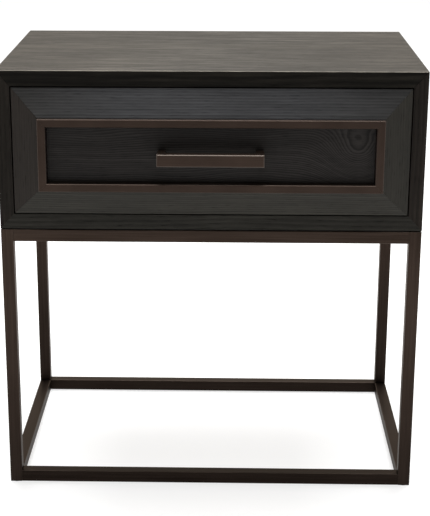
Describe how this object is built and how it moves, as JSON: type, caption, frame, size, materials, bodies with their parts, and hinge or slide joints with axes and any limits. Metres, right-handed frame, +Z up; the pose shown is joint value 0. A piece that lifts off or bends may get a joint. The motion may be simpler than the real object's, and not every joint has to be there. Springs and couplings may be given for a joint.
{
  "type": "side table with drawer",
  "caption": "Side table with a square-tube steel frame, a mitred oak case and a drawer whose raised bevelled front has a metal trim and a bar handle.",
  "frame": {"origin": "on the floor, below the middle of the whole table with its handle", "axes": "+X to the right of somebody facing the drawer, +Y to the back, +Z up"},
  "size_m": [0.54, 0.408, 0.56],
  "materials": {
    "frame_steel": "satin warm dark bronze-brown powder coat",
    "glide_plastic": "black plastic glide",
    "washer_rubber": "black rubber washer",
    "screw_steel": "zinc plated",
    "runner_steel": "bright zinc, folded sheet",
    "bronze_trim": "satin dark bronze anodised, with lighter chamfered edges",
    "bronze_handle": "satin dark bronze anodised, with lighter chamfered edges",
    "front_oak": "dark grey-brown stained oak, satin lacquer",
    "case_oak": "dark grey-brown stained oak, satin lacquer",
    "thin_board": "thin dark stained board",
    "inner_board": "dark stained board",
    "drawer_box_wood": "clear lacquered drawer box boards"
  },
  "bodies": {
    "table": {"back_batten_left": "inner_board", "back_batten_right": "inner_board", "back_panel_screws": "screw_steel", "bottom_rail_front": "frame_steel", "bottom_rail_left": "frame_steel", "bottom_rail_rear": "frame_steel", "bottom_rail_right": "frame_steel", "case_back": "thin_board", "case_bottom": "case_oak", "case_fixing_screws": "screw_steel", "case_runner_left": "runner_steel", "case_runner_right": "runner_steel", "case_runner_screws": "screw_steel", "case_side_left": "case_oak", "case_side_right": "case_oak", "case_top": "case_oak", "fixing_tabs": "frame_steel", "foot_glide_front_left": "glide_plastic", "foot_glide_front_right": "glide_plastic", "foot_glide_rear_left": "glide_plastic", "foot_glide_rear_right": "glide_plastic", "leg_front_left": "frame_steel", "leg_front_right": "frame_steel", "leg_rear_left": "frame_steel", "leg_rear_right": "frame_steel", "spacer_washers": "washer_rubber", "top_rail_front": "frame_steel", "top_rail_left": "frame_steel", "top_rail_rear": "frame_steel", "top_rail_right": "frame_steel"},
    "middle_runners": {"ball_cage_left": "runner_steel", "ball_cage_right": "runner_steel", "middle_runner_left": "runner_steel", "middle_runner_right": "runner_steel"},
    "drawer": {"bevel_bottom": "front_oak", "bevel_left": "front_oak", "bevel_right": "front_oak", "bevel_top": "front_oak", "drawer_back": "drawer_box_wood", "drawer_bottom": "thin_board", "drawer_bottom_screws": "screw_steel", "drawer_front_board": "inner_board", "drawer_inner_front": "drawer_box_wood", "drawer_panel": "front_oak", "drawer_runner_left": "runner_steel", "drawer_runner_right": "runner_steel", "drawer_runner_screws": "screw_steel", "drawer_side_left": "drawer_box_wood", "drawer_side_right": "drawer_box_wood", "front_fixing_screws": "screw_steel", "handle_bar": "bronze_handle", "handle_post_left": "bronze_handle", "handle_post_right": "bronze_handle", "handle_screws": "screw_steel", "trim_bottom": "bronze_trim", "trim_left": "bronze_trim", "trim_right": "bronze_trim", "trim_top": "bronze_trim"}
  },
  "joints": [
    {"name": "drawer_slide", "type": "slide", "parent": "table", "child": "drawer", "axis": [0, -1, 0], "range_m": [0, 0.25]},
    {"name": "middle_runner_slide", "type": "slide", "parent": "table", "child": "middle_runners", "axis": [0, -1, 0], "range_m": [0, 0.125]}
  ],
  "couplings": [
    {"joint": "middle_runner_slide", "follows": "drawer_slide", "ratio": 0.5}
  ]
}
